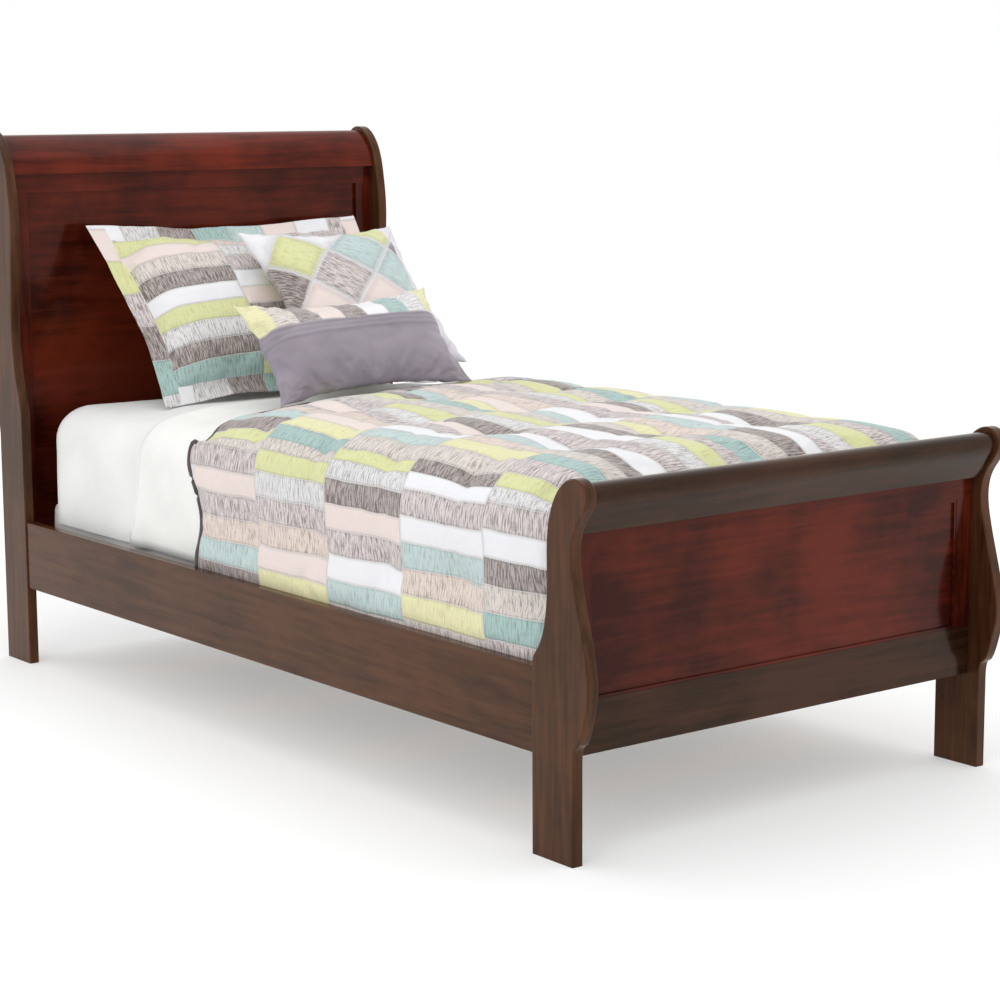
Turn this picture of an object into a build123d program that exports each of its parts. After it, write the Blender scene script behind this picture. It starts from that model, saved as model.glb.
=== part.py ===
from build123d import *
import os

# Twin sleigh bed: scrolled head and foot boards, hooked side rails, slats, foundation, mattress and bedding.
# Millimetres. X runs across the bed, +Y to the head, +Z up; the origin is on the floor under the middle.

# ---- Driving dimensions ----
bed_width = 1080.0  # outside of post to outside of post
rail_length = 1930.0  # between the head and foot posts
post_thickness = 24.0
leg_depth = 114.0  # of a post below its curve, along the bed
post_round = 2.5  # rounding of the posts' long edges

rail_bottom = 185.0
rail_height = 159.0
rail_thickness = 22.0
rail_setback = 3.6  # rail face behind the post's outer face

frame_thickness = 22.0  # rails and stiles of the two boards
stile_width = 44.0
groove_depth = 10.0
panel_thickness = 10.0

foot_frame_face = 85.0  # outward from the rail end to the board's outer face
foot_panel_recess = 6.0
foot_levels = (190.0, 288.0, 548.0, 592.0)  # lower rail, panel opening, crest rail's underside
head_frame_face = 62.0  # outward from the rail end to the face towards the bed
head_panel_recess = 9.0
head_levels = (192.0, 330.0, 1121.0, 1165.0)

bolt_shank_radius = 3.5
bolt_head_radius = 6.0
bolt_head_height = 5.0
counterbore_depth = 8.0
bolt_reach = 60.0  # into the crest rail
foot_bolt = (109.0, 648.0)  # outward, up
head_bolt = (104.0, 1227.0)

dowel_radius = 5.0
dowel_length = 34.0
dowel_in_post = 14.0
dowel_margin = 25.0  # from a rail's edge to its dowel
crest_dowel_count = 4
crest_dowel_pitch = 280.0
crest_dowel_reach = 20.0  # into each of the two rails

ledger_section = 25.0
slat_count = 4
slat_width = 76.0
slat_thickness = 19.0

mattress_width = 965.0
mattress_length = 1905.0
mattress_height = 240.0
foundation_height = 165.0
body_gap = 0.4  # between pieces that lift apart

sheet_thickness = 1.5
blanket_thickness = 2.5
comforter_crown = 49.0  # loft over the middle of the bed
comforter_edge = 16.0  # loft near its head end
comforter_hem = 330.0  # height of the tucked hem

parts_dir = "parts"
os.makedirs(parts_dir, exist_ok=True)
nodes = {}


def block(x_span, y_span, z_span):
    """A box from its lowest and highest corner on each axis."""
    spans = (x_span, y_span, z_span)
    centre = [(min(s) + max(s)) / 2 for s in spans]
    size = [max(s) - min(s) for s in spans]
    return Pos(*centre) * Box(*size)


def rounded_block(x_span, y_span, z_span, radius):
    """The same box with its upright edges rounded."""
    shape = block(x_span, y_span, z_span)
    return fillet(shape.edges().filter_by(Axis.Z), radius)


# ---- Board outlines, in (outward from the rail end, up) ----
def closed_face(curve, *corners):
    """A face between a curve and straight edges through the given corners."""
    return make_face(curve + Polyline(curve @ 1, *corners, curve @ 0))


def foot_post_outline():
    """Straight leg, a belly above the rail, a slim neck and an outward scroll."""
    curve = Spline(
        (0, 345), (18, 384), (36, 435), (42, 500), (43, 590), (58, 645), (82, 678), (114, 693),
        (141, 684), (151, 662), (139, 632), (118, 601), (109, 565), (116, 505),
        (136, 430), (151, 370), (156, 325), (147, 272), (127, 222), (leg_depth, 180),
        tangents=((0, 1), (0, -1)),
    )
    return closed_face(curve, (leg_depth, 0), (0, 0))


def head_post_outline():
    """The same shape drawn taller, with its belly at mattress height."""
    curve = Spline(
        (0, 590), (13, 655), (30, 735), (35, 800), (30, 900), (22, 1000), (21, 1070), (30, 1140),
        (45, 1200), (72, 1243), (112, 1266), (146, 1257), (158, 1231), (145, 1203), (115, 1157),
        (99, 1110), (94, 1055), (97, 980), (109, 880), (126, 790), (140, 725), (144, 668),
        (134, 610), (leg_depth, 540),
        tangents=((0, 1), (0, -1)),
    )
    return closed_face(curve, (leg_depth, 0), (0, 0))


def foot_crest_outline():
    """Scroll of the footboard's top rail, just inside the line of the posts."""
    under = foot_levels[3]
    points = ((53, under), (56, 622), (68, 652), (89, 674), (114, 683), (134, 677), (141, 661), (130, 634))
    curve = Spline(*points, (104, under), tangents=((0, 1), (-0.6, -1)))
    return closed_face(curve)


def head_crest_outline():
    """Scroll of the headboard's top rail."""
    under = head_levels[3]
    points = ((45, under), (55, 1200), (80, 1236), (112, 1256), (138, 1249), (148, 1231), (136, 1204))
    curve = Spline(*points, (110, under), tangents=((0.2, 1), (-0.5, -1)))
    return closed_face(curve)


foot_reach = foot_post_outline().bounding_box().max.X
head_reach = head_post_outline().bounding_box().max.X
overall_length = foot_reach + rail_length + head_reach
foot_y = foot_reach - overall_length / 2  # the rails' foot ends
head_y = foot_y + rail_length

inner_x = bed_width / 2 - post_thickness  # inner faces of the posts
rail_x = (bed_width / 2 - rail_setback - rail_thickness, bed_width / 2 - rail_setback)
rail_top = rail_bottom + rail_height
sides = {"left": -1, "right": 1}
ends = {"foot": (foot_y, -1), "head": (head_y, 1)}


def along(end, outward):
    """Y of a point a distance outward from the rail ends of one board."""
    y, direction = ends[end]
    return y + direction * outward


def swept_across(end, outline, x_span):
    """An outline in (outward, up) made solid between two X values."""
    y, direction = ends[end]
    start = min(x_span) if direction > 0 else max(x_span)
    plane = Plane(origin=(start, y, 0), x_dir=(0, direction, 0), z_dir=(direction, 0, 0))
    return extrude(plane * outline, amount=max(x_span) - min(x_span))


def rod_across(x_span, y, z, radius):
    """A round rod along X."""
    length = max(x_span) - min(x_span)
    return Pos(sum(x_span) / 2, y, z) * Rot(0, 90, 0) * Cylinder(radius, length)


def rod_up(x, y, z_span, radius):
    """A round rod along Z."""
    length = max(z_span) - min(z_span)
    return Pos(x, y, sum(z_span) / 2) * Cylinder(radius, length)


# ---- Crest rail bolts and their plugs ----
def crest_bolt(end, side, place):
    """Flat-headed bolt sunk in the post's outer face, reaching into the crest rail."""
    y = along(end, place[0])
    seat = bed_width / 2 - counterbore_depth
    head = rod_across((side * seat, side * (seat + bolt_head_height)), y, place[1], bolt_head_radius)
    tip = inner_x - bolt_reach
    shank = rod_across((side * tip, side * seat), y, place[1], bolt_shank_radius)
    return head + shank


def bolt_plug(end, side, place):
    """Turned wooden button over the bolt head."""
    y = along(end, place[0])
    start = bed_width / 2 - counterbore_depth + bolt_head_height
    return rod_across((side * start, side * bed_width / 2), y, place[1], bolt_head_radius)


bolts = {}
plugs = {}
for end, place in (("foot", foot_bolt), ("head", head_bolt)):
    for name, side in sides.items():
        bolts[end, name] = crest_bolt(end, side, place)
        plugs[end, name] = bolt_plug(end, side, place)

# ---- Dowels between each board's rails and its posts, and under the crest rail ----
board_face = {
    "foot": (foot_frame_face - frame_thickness, foot_frame_face),
    "head": (head_frame_face, head_frame_face + frame_thickness),
}
board_levels = {"foot": foot_levels, "head": head_levels}
dowels = {}
for end in ends:
    middle = along(end, sum(board_face[end]) / 2)
    lower, opening, top, crest = board_levels[end]
    heights = (lower + dowel_margin, opening - dowel_margin, (top + crest) / 2)
    group = []
    for side in sides.values():
        for z in heights:
            start = inner_x + dowel_in_post
            group.append(rod_across((side * (start - dowel_length), side * start), middle, z, dowel_radius))
    for step in range(crest_dowel_count):
        x = (step - (crest_dowel_count - 1) / 2) * crest_dowel_pitch
        group.append(rod_up(x, middle, (crest - crest_dowel_reach, crest + crest_dowel_reach), dowel_radius))
    dowels[end] = group

# ---- Hooked rail connectors ----
plate_width = 16.0
plate_thickness = 3.0
plate_height = 120.0
plate_middle = rail_bottom + rail_height / 2
hook_heights = (plate_middle - 35, plate_middle + 25)
hook_thickness = 3.0
slot_width = 5.0
slot_height = 40.0
slot_drop = 15.0  # from a hook's own height down to its slot's lower end
hook_reach = (4.0, 10.0)  # neck and tip of a hook, from the post's edge
hook_rise = 14.0
hook_point = 13.0  # how far a hook's tip points down
hook_neck = 2.0
pocket_depth = 14.0
plate_screw_pitch = 55.0
screw_heights = tuple(plate_middle + step * plate_screw_pitch for step in (-1, 0, 1))
screw_radius = 2.0
screw_length = 28.0
connector_x = sum(rail_x) / 2


def hook_plate(end, side):
    """Steel plate let into the rail end, with two hooks that point down."""
    x = side * connector_x
    half = plate_width / 2
    plate = block(
        (x - half, x + half),
        (along(end, 0), along(end, -plate_thickness)),
        (plate_middle - plate_height / 2, plate_middle + plate_height / 2),
    )
    web = (x - hook_thickness / 2, x + hook_thickness / 2)
    for z in hook_heights:
        neck = (along(end, -plate_thickness), along(end, hook_reach[0]))
        tip = tuple(along(end, reach) for reach in hook_reach)
        plate += block(web, neck, (z - hook_neck, z + hook_rise))
        plate += block(web, tip, (z - hook_point, z + hook_rise))
    return plate


def slot_plate(end, side):
    """Steel plate let into the post's edge, slotted for the hooks."""
    x = side * connector_x
    half = plate_width / 2
    plate = block(
        (x - half, x + half),
        (along(end, 0), along(end, plate_thickness)),
        (plate_middle - plate_height / 2, plate_middle + plate_height / 2),
    )
    for z in hook_heights:
        plate -= slot_space(end, side, z, plate_thickness)
    return plate


def slot_space(end, side, z, depth):
    """The room that a hook needs in the plate and in the post behind it."""
    x = side * connector_x
    width = (x - slot_width / 2, x + slot_width / 2)
    return block(width, (along(end, 0), along(end, depth)), (z - slot_drop, z - slot_drop + slot_height))


def connector_screw(end, side, z, into_post):
    """Countersunk screw, its head flush with the plate."""
    direction = ends[end][1] if into_post else -ends[end][1]
    y = ends[end][0]
    middle = y + direction * screw_length / 2
    shank = Pos(side * connector_x, middle, z) * Rot(90, 0, 0) * Cylinder(screw_radius, screw_length)
    head_middle = y + direction * plate_thickness / 2
    head = Rot(90, 0, 0) * Cylinder(2 * screw_radius, plate_thickness)
    head = Pos(side * connector_x, head_middle, z) * head
    return shank + head


connector_screws = {}
for end in ends:
    for name, side in sides.items():
        for into_post in (True, False):
            made = [connector_screw(end, side, z, into_post) for z in screw_heights]
            connector_screws[end, name, into_post] = made

# ---- Posts ----
outlines = {"foot": foot_post_outline(), "head": head_post_outline()}
for end in ends:
    for name, side in sides.items():
        x_span = (side * inner_x, side * bed_width / 2)
        post = swept_across(end, outlines[end], x_span)
        flat_sides = post.faces().filter_by(Axis.X)
        long_edges = [e for e in flat_sides.edges() if e.center().Z > 1]
        post = fillet(long_edges, post_round)
        post -= bolts[end, name]
        post -= plugs[end, name]
        post -= block(
            (side * connector_x - plate_width / 2, side * connector_x + plate_width / 2),
            (along(end, -1), along(end, plate_thickness)),
            (plate_middle - plate_height / 2, plate_middle + plate_height / 2),
        )
        for z in hook_heights:
            post -= slot_space(end, side, z, plate_thickness + pocket_depth)
        for piece in dowels[end] + connector_screws[end, name, True]:
            post -= piece
        nodes[f"{end}_post_{name}"] = post

# ---- Crest rails ----
crests = {"foot": foot_crest_outline(), "head": head_crest_outline()}
for end in ends:
    crest = swept_across(end, crests[end], (-inner_x, inner_x))
    for name in sides:
        crest -= bolts[end, name]
    for piece in dowels[end]:
        crest -= piece
    nodes[f"{end}_crest_rail"] = crest

# ---- Frame and panel of each board ----
panel_face = {
    "foot": tuple(foot_frame_face - foot_panel_recess - d for d in (panel_thickness, 0)),
    "head": tuple(head_frame_face + head_panel_recess + d for d in (0, panel_thickness)),
}
for end in ends:
    lower, opening, top, crest = board_levels[end]
    face = tuple(along(end, u) for u in board_face[end])
    groove = tuple(along(end, u) for u in panel_face[end])
    panel_x = inner_x - stile_width + groove_depth
    panel = block((-panel_x, panel_x), groove, (opening - groove_depth, top + groove_depth))
    nodes[f"{end}_panel"] = panel
    tenons = {}
    for name, side in sides.items():
        stile = block((side * (inner_x - stile_width), side * inner_x), face, (opening, top))
        tenon = block((side * panel_x, side * inner_x), groove, (opening - groove_depth, top + groove_depth))
        stile = stile + tenon - panel
        tenons[name] = tenon
        nodes[f"{end}_stile_{name}"] = stile
    for rail_name, z_span in (("lower", (lower, opening)), ("upper", (top, crest))):
        member = block((-inner_x, inner_x), face, z_span)
        member -= panel
        for tenon in tenons.values():
            member -= tenon
        for piece in dowels[end]:
            member -= piece
        nodes[f"{end}_{rail_name}_rail"] = member
    nodes[f"{end}_dowels"] = Compound(dowels[end])

# ---- Bead around the footboard panel ----
bead = 5.0
bead_setback = 1.0
bead_face = tuple(along("foot", foot_frame_face - depth) for depth in (foot_panel_recess, bead_setback))
opening_x = inner_x - stile_width
bead_levels = (foot_levels[1] + bead, foot_levels[2] - bead)
nodes["foot_panel_bead"] = Compound(
    [
        block((-opening_x, opening_x), bead_face, (foot_levels[1], bead_levels[0])),
        block((-opening_x, opening_x), bead_face, (bead_levels[1], foot_levels[2])),
        block((-opening_x, -opening_x + bead), bead_face, bead_levels),
        block((opening_x - bead, opening_x), bead_face, bead_levels),
    ]
)
nodes["crest_bolts"] = Compound(list(bolts.values()))
nodes["bolt_plugs"] = Compound(list(plugs.values()))

# ---- Side rails, ledgers and their screws ----
ledger_top = rail_bottom + ledger_section
ledger_inset = 120.0
screw_pitch = 280.0
screw_count = 7
ledger_screw_length = 38.0
rail_round = 2.0  # rounding of the side rails' long edges
ledger_screws = []
for name, side in sides.items():
    rail = block((side * rail_x[0], side * rail_x[1]), (foot_y, head_y), (rail_bottom, rail_top))
    outer_edges = rail.edges().filter_by(Axis.Y).sort_by(lambda e: side * e.center().X)[-2:]
    rail = fillet(outer_edges, rail_round)
    ledger = block(
        (side * (rail_x[0] - ledger_section), side * rail_x[0]),
        (foot_y + ledger_inset, head_y - ledger_inset),
        (rail_bottom, ledger_top),
    )
    for step in range(screw_count):
        y = (foot_y + head_y) / 2 + (step - (screw_count - 1) / 2) * screw_pitch
        start = rail_x[0] - ledger_section
        reach = (side * start, side * (start + ledger_screw_length))
        screw = rod_across(reach, y, rail_bottom + ledger_section / 2, screw_radius)
        ledger_screws.append(screw)
        rail -= screw
        ledger -= screw
    for end in ends:
        plate = hook_plate(end, side)
        nodes[f"hook_plate_{end}_{name}"] = plate
        nodes[f"slot_plate_{end}_{name}"] = slot_plate(end, side)
        rail -= plate
        for piece in connector_screws[end, name, False]:
            rail -= piece
            nodes[f"hook_plate_{end}_{name}"] -= piece
        for piece in connector_screws[end, name, True]:
            nodes[f"slot_plate_{end}_{name}"] -= piece
    nodes[f"side_rail_{name}"] = rail
    nodes[f"slat_ledger_{name}"] = ledger
nodes["ledger_screws"] = Compound(ledger_screws)
all_connector_screws = [s for made in connector_screws.values() for s in made]
nodes["connector_screws"] = Compound(all_connector_screws)

# ---- Slats ----
slat_top = ledger_top + slat_thickness
slat_half = rail_x[0] - 1
slat_first = 240.0
slat_screw_offset = 12.0  # clear of the ledger's own screws
slat_screw_depth = 11.0
slat_pitch = (rail_length - 2 * slat_first) / (slat_count - 1)
slat_screws = []
for index in range(slat_count):
    y = foot_y + slat_first + index * slat_pitch
    slat = block((-slat_half, slat_half), (y - slat_width / 2, y + slat_width / 2), (ledger_top, slat_top))
    for side in sides.values():
        x = side * (rail_x[0] - ledger_section / 2)
        screw = rod_up(x, y + slat_screw_offset, (ledger_top - slat_screw_depth, slat_top), screw_radius)
        slat_screws.append(screw)
        slat -= screw
    nodes[f"slat_{index + 1}"] = slat
for name in sides:
    for screw in slat_screws:
        nodes[f"slat_ledger_{name}"] -= screw
nodes["slat_screws"] = Compound(slat_screws)

# ---- Foundation ----
mattress_x = mattress_width / 2
end_room = (rail_length - mattress_length) / 2
mattress_y = (foot_y + end_room, head_y - end_room)
base_z = slat_top + body_gap
base_top = base_z + foundation_height
cover = 4.0
timber = 40.0
deck = 12.0
cloth_thickness = 1.0  # of the dust cloth under the foundation
foundation_inset = 3.0  # from the mattress's sides, so the sheet hangs past it
cross_count = 5
cross_pitch = 310.0
cross_depth = 60.0
corner = 45.0  # upright corners of the foundation, mattress and sheet


def inset(span, amount):
    return (span[0] + amount, span[1] - amount)


base_x = (-mattress_x, mattress_x)
foundation_x = inset(base_x, foundation_inset)
foundation_y = inset(mattress_y, foundation_inset)
cover_shell = rounded_block(foundation_x, foundation_y, (base_z + cloth_thickness, base_top), corner)
frame_space = (inset(foundation_x, cover), inset(foundation_y, cover))
frame_corner = corner - cover
hollow = rounded_block(*frame_space, (base_z, base_top - cover), frame_corner)
nodes["foundation_cover"] = cover_shell - hollow
nodes["foundation_base_cloth"] = rounded_block(*frame_space, (base_z, base_z + cloth_thickness), frame_corner)
deck_z = (base_top - cover - deck, base_top - cover)
nodes["foundation_deck"] = rounded_block(*frame_space, deck_z, frame_corner)
frame_z = (base_z + cloth_thickness, deck_z[0])
between = inset(frame_space[0], timber)
frame_shape = rounded_block(*frame_space, frame_z, frame_corner)
frame_shape -= block(between, inset(frame_space[1], timber), frame_z)
for step in range(cross_count):
    y = sum(mattress_y) / 2 + (step - (cross_count - 1) / 2) * cross_pitch
    frame_shape += block(between, (y - timber / 2, y + timber / 2), (deck_z[0] - cross_depth, deck_z[0]))
nodes["foundation_frame"] = frame_shape

# ---- Mattress ----
mattress_z = base_top + body_gap
mattress_top = mattress_z + mattress_height
ticking = 8.0
side_ticking = 16.0
foam = 45.0
edge_foam_width = 60.0
shell = rounded_block(base_x, mattress_y, (mattress_z, mattress_top), corner)
core_x = inset(base_x, side_ticking)
core_y = inset(mattress_y, side_ticking)
core_z = inset((mattress_z, mattress_top), ticking)
nodes["mattress_cover"] = shell - block(core_x, core_y, core_z)
nodes["mattress_base_foam"] = block(core_x, core_y, (core_z[0], core_z[0] + foam / 2))
nodes["mattress_top_foam"] = block(core_x, core_y, (core_z[1] - foam, core_z[1]))
spring_z = (core_z[0] + foam / 2, core_z[1] - foam)
spring_unit = block(inset(core_x, edge_foam_width), inset(core_y, edge_foam_width), spring_z)
nodes["mattress_spring_unit"] = spring_unit
nodes["mattress_edge_foam"] = block(core_x, core_y, spring_z) - spring_unit

# ---- Fitted sheet and blanket ----
sheet_hem = 346.0  # both hang to just above the rails
sheet_x = inset(base_x, -sheet_thickness)
sheet_y = inset(mattress_y, -sheet_thickness)
sheet_top = mattress_top + sheet_thickness
sheet_shape = rounded_block(sheet_x, sheet_y, (sheet_hem, sheet_top), corner)
skirt_room = rounded_block(base_x, mattress_y, (0, mattress_z), corner)
nodes["fitted_sheet"] = sheet_shape - skirt_room - shell

near_edge = 1440.0  # of the blanket, from the rail's foot end, on the left side
skew = 150.0  # how much further up the bed the right side reaches
blanket_x = inset(sheet_x, -blanket_thickness)
blanket_y = (sheet_y[0] - blanket_thickness, head_y - 100)
blanket_shape = block(blanket_x, blanket_y, (sheet_hem, sheet_top + blanket_thickness))
blanket_room = block(sheet_x, (sheet_y[0], head_y), (0, sheet_top))


def head_cut(left_edge, right_edge):
    """Everything past a slanting line across the bed, given at its two sides from the rail's foot end."""
    reach = 600.0
    rise = (right_edge - left_edge) / bed_width
    low = foot_y + left_edge - rise * (reach - bed_width / 2)
    high = foot_y + right_edge + rise * (reach - bed_width / 2)
    corners = ((-reach, low), (reach, high), (reach, head_y + 600), (-reach, head_y + 600))
    return extrude(make_face(Polyline(*corners, close=True)), amount=900)


nodes["blanket"] = blanket_shape - blanket_room - head_cut(near_edge, near_edge + skew)

# ---- Comforter ----
comforter_x = rail_x[0] - 1
quilt_foot = foot_y - 48
quilt_slope = (940.0, 1160.0)  # where the loft thins towards the head, from the rail's foot end
quilt_top = sheet_top + blanket_thickness + comforter_crown
quilt_edge_top = sheet_top + blanket_thickness + comforter_edge
quilt_profile = Polyline(
    (quilt_foot, comforter_hem),
    (quilt_foot, quilt_top - 40),
    (quilt_foot + 40, quilt_top),
    (foot_y + quilt_slope[0], quilt_top),
    (foot_y + quilt_slope[1], quilt_edge_top),
    (head_y - 200, quilt_edge_top),
    (head_y - 200, comforter_hem),
    close=True,
)
quilt_plane = Plane(origin=(-comforter_x, 0, 0), x_dir=(0, 1, 0), z_dir=(1, 0, 0))
quilt = extrude(quilt_plane * make_face(quilt_profile), amount=2 * comforter_x)
shoulder = 42.0
for side in sides.values():
    edge_x = side * comforter_x
    low = (edge_x, quilt_top - shoulder - 25)
    high = (edge_x - side * (shoulder + 60), quilt_top + 1)
    corners = ((edge_x, quilt_top + 1), low, high)
    wedge = extrude(Plane.XZ * make_face(Polyline(*corners, close=True)), amount=1500, both=True)
    quilt -= wedge
room_gap = 0.5
quilt_room = block(
    inset(blanket_x, -room_gap),
    (sheet_y[0] - blanket_thickness - room_gap, head_y),
    (0, sheet_top + blanket_thickness),
)
nodes["comforter"] = quilt - quilt_room - head_cut(1180, 1440)


# ---- Pillows ----
def cushion(width, height, thickness):
    """Crowned pad: thin at its edges and full in the middle, lying in the XY plane."""
    sections = []
    for level, share in ((-0.5, 0.46), (-0.32, 0.82), (0.0, 1.0), (0.32, 0.82), (0.5, 0.46)):
        outline = RectangleRounded(width * share, height * share, 0.06 * height)
        sections.append(Pos(0, 0, level * thickness) * outline)
    return loft(sections, ruled=True)


def pillow(name, size, lean, roll, middle):
    """Cover with its insert, leaning back from upright by an angle about X."""
    width, height, thickness = size
    seat = Pos(middle[0], foot_y + middle[1], middle[2]) * Rot(90 - lean, 0, 0) * Rot(0, 0, roll)
    outer = cushion(width, height, thickness)
    inner = cushion(width - 30, height - 30, thickness - 10)
    nodes[f"{name}_insert"] = seat * inner
    return seat * (outer - inner)


nodes["sham_cover"] = pillow("sham", (800, 560, 130), 42, 0, (46, 1770, 846))
nodes["square_pillow_cover"] = pillow("square_pillow", (462, 462, 110), 45, 0, (185, 1597, 862))
nodes["oblong_pillow_cover"] = pillow("oblong_pillow", (560, 292, 90), 40, 2, (31, 1364, 775))

for name, shape in nodes.items():
    export_step(shape, f"{parts_dir}/{name}.step")
print(len(nodes), "nodes; length", round(overall_length, 1), "rail foot end at y", round(foot_y, 1))
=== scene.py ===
# %% [markdown]
# # Dressing a sleigh bed
# The joinery of this bed is already made and holds still. This lesson loads it, polishes its wood and
# steel, and then makes everything soft: sheet, blanket, comforter and three pillows. Each soft piece is
# a mesh of its own that stands for a plain solid of the same size.

# %% Load the frame
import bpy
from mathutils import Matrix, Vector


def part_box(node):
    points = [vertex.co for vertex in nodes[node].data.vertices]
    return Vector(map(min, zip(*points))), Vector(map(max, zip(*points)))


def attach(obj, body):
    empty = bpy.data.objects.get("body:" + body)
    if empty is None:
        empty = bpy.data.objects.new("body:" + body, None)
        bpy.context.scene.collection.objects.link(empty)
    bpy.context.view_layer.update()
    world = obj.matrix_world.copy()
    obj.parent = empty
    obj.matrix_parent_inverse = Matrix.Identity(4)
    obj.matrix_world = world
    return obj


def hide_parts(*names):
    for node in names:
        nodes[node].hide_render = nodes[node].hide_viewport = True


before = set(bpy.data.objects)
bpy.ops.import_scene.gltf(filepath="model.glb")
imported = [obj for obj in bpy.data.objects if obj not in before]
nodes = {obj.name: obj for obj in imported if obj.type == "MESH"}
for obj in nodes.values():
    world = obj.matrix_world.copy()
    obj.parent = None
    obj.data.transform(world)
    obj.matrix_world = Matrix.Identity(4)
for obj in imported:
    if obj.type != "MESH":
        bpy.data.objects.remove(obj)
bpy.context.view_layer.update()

# %% Tools for the whole lesson
import math

import bmesh
import bpy
import numpy as np
from mathutils import Matrix, Vector, noise

scene = bpy.context.scene


def corners(node):
    """Lowest and highest corner of a piece of the frame, as arrays."""
    low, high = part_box(node)
    return np.array(low), np.array(high)


foot_y = corners("side_rail_left")[0][1]
head_y = corners("side_rail_left")[1][1]
print("rails run from", round(foot_y, 3), "to", round(head_y, 3))

# %% [markdown]
# ## Camera
# The bed is seen from beyond its left foot corner, a little above the headboard's height. A long lens
# keeps the far legs nearly as large as the near ones. The camera is placed by its own yaw, pitch and
# roll, so that turning it never depends on what it looks at.

# %% Camera
CAMERA_YAW, CAMERA_PITCH, CAMERA_ROLL = 0.6616, 0.1620, -0.0049
CAMERA_LEFT, CAMERA_BEYOND_FOOT, CAMERA_HEIGHT = 3.194, 3.320, 1.337
LENS_MM, SENSOR_MM = 88.5, 36.0
eye = Vector((-CAMERA_LEFT, foot_y - CAMERA_BEYOND_FOOT, CAMERA_HEIGHT))
lens_data = bpy.data.cameras.new("camera")
lens_data.lens = LENS_MM
lens_data.sensor_width = SENSOR_MM
camera = bpy.data.objects.new("camera", lens_data)
scene.collection.objects.link(camera)
heading = Matrix.Rotation(-CAMERA_YAW, 4, "Z")
tilt = Matrix.Rotation(math.pi / 2 - CAMERA_PITCH, 4, "X")
turn = heading @ tilt @ Matrix.Rotation(CAMERA_ROLL, 4, "Z")
camera.matrix_world = Matrix.Translation(eye) @ turn
scene.camera = camera
print("camera at", [round(c, 3) for c in eye])

# %% [markdown]
# ## Room
# A plain pale floor and wide, soft lights. The floor glows faintly, as if more light reached it, which
# keeps the shadow under the bed from going dark. The standard view transform keeps white fabric white,
# where a filmic one would grey it.

# %% Floor and lights
scene.view_settings.view_transform = "Standard"
scene.view_settings.look = "None"


def plain_material(name, colour, roughness, glow):
    """One even finish with a faint glow, for the floor only."""
    material = bpy.data.materials.new(name)
    material.use_nodes = True
    shader = material.node_tree.nodes["Principled BSDF"]
    shader.inputs["Base Color"].default_value = (*colour, 1)
    shader.inputs["Roughness"].default_value = roughness
    shader.inputs["Emission Color"].default_value = (1, 1, 1, 1)
    shader.inputs["Emission Strength"].default_value = glow
    return material


FLOOR_REACH = 30.0
FLOOR_COLOUR, FLOOR_ROUGHNESS, FLOOR_GLOW = (0.66, 0.66, 0.66), 0.9, 0.33
floor_mesh = bpy.data.meshes.new("floor")
floor_corners = [(x * FLOOR_REACH, y * FLOOR_REACH, 0) for x, y in ((-1, -1), (1, -1), (1, 1), (-1, 1))]
floor_mesh.from_pydata(floor_corners, [], [(0, 1, 2, 3)])
floor = bpy.data.objects.new("floor", floor_mesh)
floor.data.materials.append(plain_material("floor_white", FLOOR_COLOUR, FLOOR_ROUGHNESS, FLOOR_GLOW))
scene.collection.objects.link(floor)

world = bpy.data.worlds.new("room")
world.use_nodes = True
world.node_tree.nodes["Background"].inputs["Color"].default_value = (1, 1, 1, 1)
world.node_tree.nodes["Background"].inputs["Strength"].default_value = 1.0
scene.world = world


def soft_light(name, place, target, size, power, colour=(1, 1, 1)):
    """A square area light aimed at a point."""
    data = bpy.data.lights.new(name, "AREA")
    data.shape = "SQUARE"
    data.size = size
    data.energy = power
    data.color = colour
    light = bpy.data.objects.new(name, data)
    light.location = place
    light.rotation_euler = (Vector(target) - Vector(place)).to_track_quat("-Z", "Y").to_euler()
    scene.collection.objects.link(light)
    return light


LIGHTS = {
    "overhead": dict(place=(0, 0, 5), target=(0, 0, 0.5), size=5, power=50),
    "left_front": dict(place=(-5, -3, 3.5), target=(0, 0, 0.6), size=2.2, power=38),
    "window": dict(
        place=(-4.5, 5.5, 2.2), target=(0, 0.6, 0.8), size=1.6, power=30, colour=(0.86, 0.93, 1.0)
    ),
}
for light_name, settings in LIGHTS.items():
    soft_light(light_name, **settings)

# %% [markdown]
# ## Building finishes from nodes
# Each finish is a small graph: something that varies along the surface, a ramp that turns it into
# colour, and a bump. These helpers keep the graphs short to read.

# %% Graph helpers
def srgb(red, green, blue):
    """A screen colour, 0 to 255, as the linear colour that shaders use."""
    scaled = [c / 255 for c in (red, green, blue)]
    return tuple(c / 12.92 if c <= 0.04045 else ((c + 0.055) / 1.055) ** 2.4 for c in scaled)


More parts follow.
